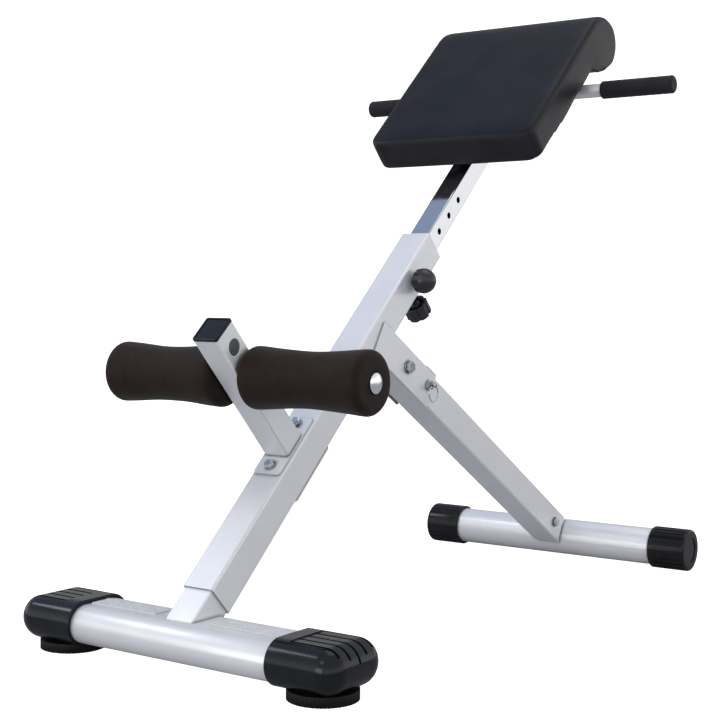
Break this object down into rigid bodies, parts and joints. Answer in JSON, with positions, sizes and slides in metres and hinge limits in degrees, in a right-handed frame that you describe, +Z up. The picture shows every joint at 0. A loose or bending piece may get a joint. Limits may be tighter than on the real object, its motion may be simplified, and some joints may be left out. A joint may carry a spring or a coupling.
{
  "type": "roman chair",
  "caption": "Folding roman chair bench: padded rest on a sliding post, foam ankle rollers, folding rear leg, levelling feet and a handlebar.",
  "frame": {"origin": "floor level, midway along the overall length, on the middle plane of the bench", "axes": "+Z up, +Y from the foot end towards the pad end, +X to the side that carries the pop-pin"},
  "size_m": [0.581, 1.092, 0.9371],
  "materials": {
    "paint": "satin silver-grey metallic paint",
    "zinc": "bright zinc plate",
    "chrome": "polished chrome plate",
    "black_gloss_plastic": "moulded gloss black",
    "black_matte_plastic": "moulded satin black",
    "foam": "closed-cell foam with skin",
    "upholstery": "black grained synthetic leather over foam",
    "board": "black-covered plywood",
    "strip": "pale textured anti-slip strip"
  },
  "bodies": {
    "frame": {"front_stabiliser": "paint", "stub_post": "paint", "foot_weld_nuts": "zinc", "front_cap_left": "black_gloss_plastic", "front_cap_right": "black_gloss_plastic", "grip_strips": "strip", "main_tube": "paint", "guide_bush": "black_matte_plastic", "pin_ferrule": "zinc", "clamp_weld_nut": "zinc", "roller_post": "paint", "post_base_plate": "paint", "post_back_plate": "paint", "post_bolts": "zinc", "post_nuts": "zinc", "post_washers": "zinc", "post_end_cap": "black_gloss_plastic", "roller_axle": "zinc", "axle_cap_left": "chrome", "axle_cap_right": "chrome", "bracket_plate_left": "paint", "bracket_plate_right": "paint", "stop_bridge": "paint", "pivot_bolt": "zinc", "pivot_washers": "zinc", "pivot_nut": "zinc", "plunger_housing": "zinc"},
    "leg": {"rear_leg": "paint", "rear_stub": "paint", "rear_stabiliser": "paint", "rear_cap_left": "black_gloss_plastic", "rear_cap_right": "black_gloss_plastic", "rear_bolt": "zinc", "rear_washers": "zinc", "rear_nut": "zinc"},
    "seat": {"seat_post": "chrome", "lower_glide": "black_matte_plastic", "post_top_plug": "black_matte_plastic", "pad_carriers": "paint", "pad_board": "board", "pad_cushion": "upholstery", "pad_bolts": "zinc", "handlebar": "paint", "grip_left": "foam", "grip_right": "foam"},
    "roller_left": {"roller_sleeve_left": "black_matte_plastic", "foam_roller_left": "foam"},
    "roller_right": {"roller_sleeve_right": "black_matte_plastic", "foam_roller_right": "foam"},
    "pop_pin": {"pop_pin": "zinc", "pop_knob": "black_matte_plastic"},
    "clamp": {"clamp_screw": "zinc", "clamp_knob": "black_matte_plastic"},
    "plunger": {"lock_plunger": "zinc"},
    "ring": {"pull_ring": "zinc"},
    "foot_left": {"levelling_foot_left": "black_matte_plastic"},
    "foot_right": {"levelling_foot_right": "black_matte_plastic"}
  },
  "joints": [
    {"name": "seat_height", "type": "slide", "parent": "frame", "child": "seat", "axis": [0, 0.7315, 0.6819], "range_m": [-0.1905, 0.0762]},
    {"name": "leg_fold", "type": "hinge", "parent": "frame", "child": "leg", "pos_m": [0, -0.03828, 0.36542], "axis": [-1, 0, 0], "range_deg": [0, 103]},
    {"name": "roller_left_spin", "type": "hinge", "parent": "frame", "child": "roller_left", "pos_m": [-0.115, -0.394, 0.36414], "axis": [1, 0, 0], "continuous": true},
    {"name": "roller_right_spin", "type": "hinge", "parent": "frame", "child": "roller_right", "pos_m": [0.115, -0.394, 0.36414], "axis": [1, 0, 0], "continuous": true},
    {"name": "pop_pin_pull", "type": "slide", "parent": "frame", "child": "pop_pin", "axis": [1, 0, 0], "range_m": [0, 0.008], "stiffness_N_per_m": 1200},
    {"name": "clamp_knob_turn", "type": "hinge", "parent": "frame", "child": "clamp", "pos_m": [0, 0.02472, 0.4548], "axis": [0, -0.6819, 0.7315], "range_deg": [0, 720]},
    {"name": "lock_plunger_pull", "type": "slide", "parent": "frame", "child": "plunger", "axis": [1, 0, 0], "range_m": [0, 0.007], "stiffness_N_per_m": 900},
    {"name": "pull_ring_swing", "type": "hinge", "parent": "plunger", "child": "ring", "pos_m": [0.038, 0.01761, 0.33534], "axis": [0, -1, 0], "range_deg": [-12, 100]},
    {"name": "foot_left_turn", "type": "hinge", "parent": "frame", "child": "foot_left", "pos_m": [-0.207, -0.49097, 0.006], "axis": [0, 0, 1], "range_deg": [-1080, 1080]},
    {"name": "foot_right_turn", "type": "hinge", "parent": "frame", "child": "foot_right", "pos_m": [0.207, -0.49097, 0.006], "axis": [0, 0, 1], "range_deg": [-1080, 1080]}
  ]
}
